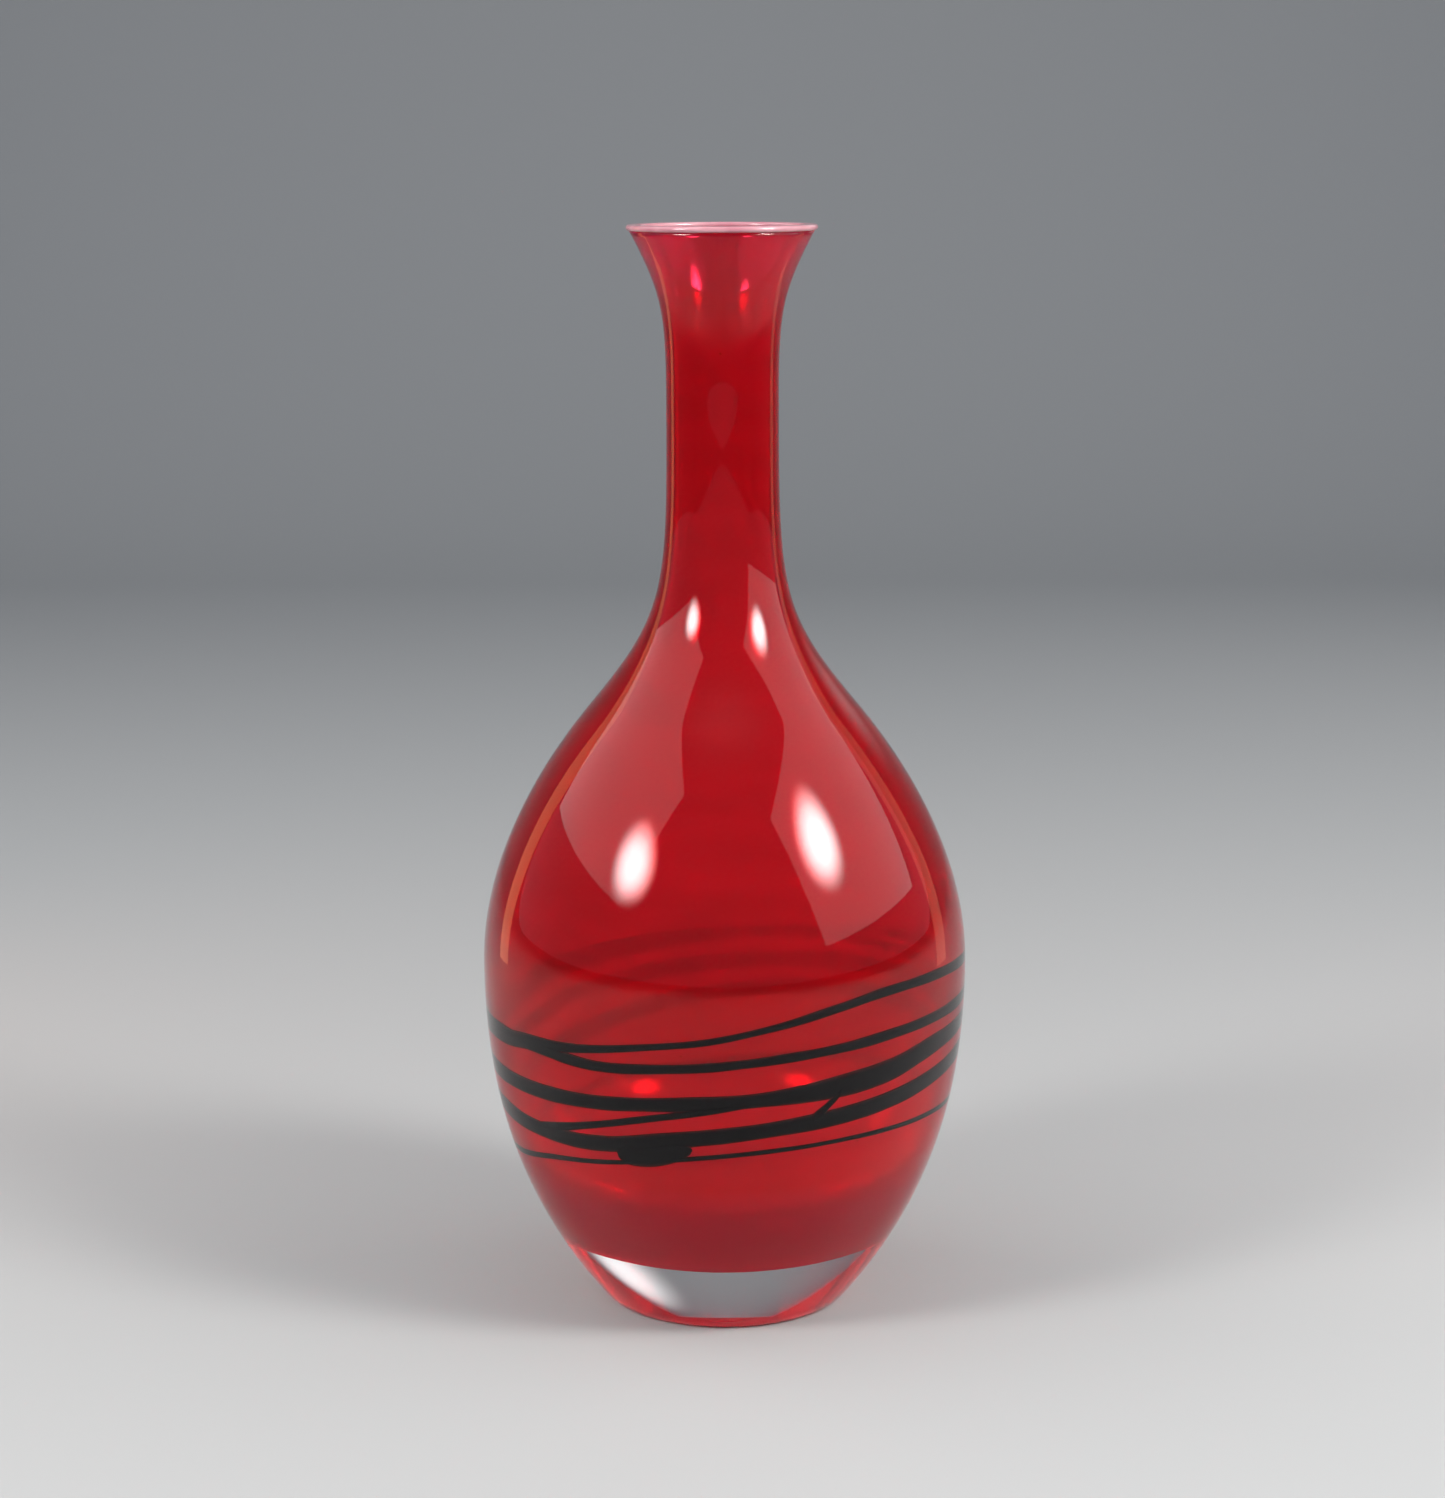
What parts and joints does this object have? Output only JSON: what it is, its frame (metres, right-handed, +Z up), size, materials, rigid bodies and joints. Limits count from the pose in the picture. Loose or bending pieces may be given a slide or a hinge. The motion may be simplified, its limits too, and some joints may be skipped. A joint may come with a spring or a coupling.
{
  "type": "glass bottle vase",
  "caption": "Tall bottle vase in cased ruby glass with a slim flared neck, black trails round the belly and a thick clear base.",
  "frame": {"origin": "centre of the foot, on the surface the vase stands on", "axes": "+Z up through the mouth, the vase's axis of turning; the shown face looks towards -Y"},
  "size_m": [0.1486, 0.1486, 0.33],
  "materials": {
    "ruby_glass": "transparent ruby red blown glass, fire polished inside",
    "clear_glass": "clear crystal casing, smooth and glossy, thick at the base",
    "pale_glass": "pale pink-white milky glass, fire polished edge",
    "black_glass": "opaque black glass thread under the clear casing"
  },
  "bodies": {
    "root": {"ruby_bubble": "ruby_glass", "clear_casing": "clear_glass", "lip_band": "pale_glass", "top_trail": "black_glass", "second_trail": "black_glass", "broad_trail": "black_glass", "lower_trail": "black_glass", "fine_trail": "black_glass", "forked_trail": "black_glass", "stray_trail": "black_glass", "trail_gob": "black_glass"}
  },
  "joints": []
}
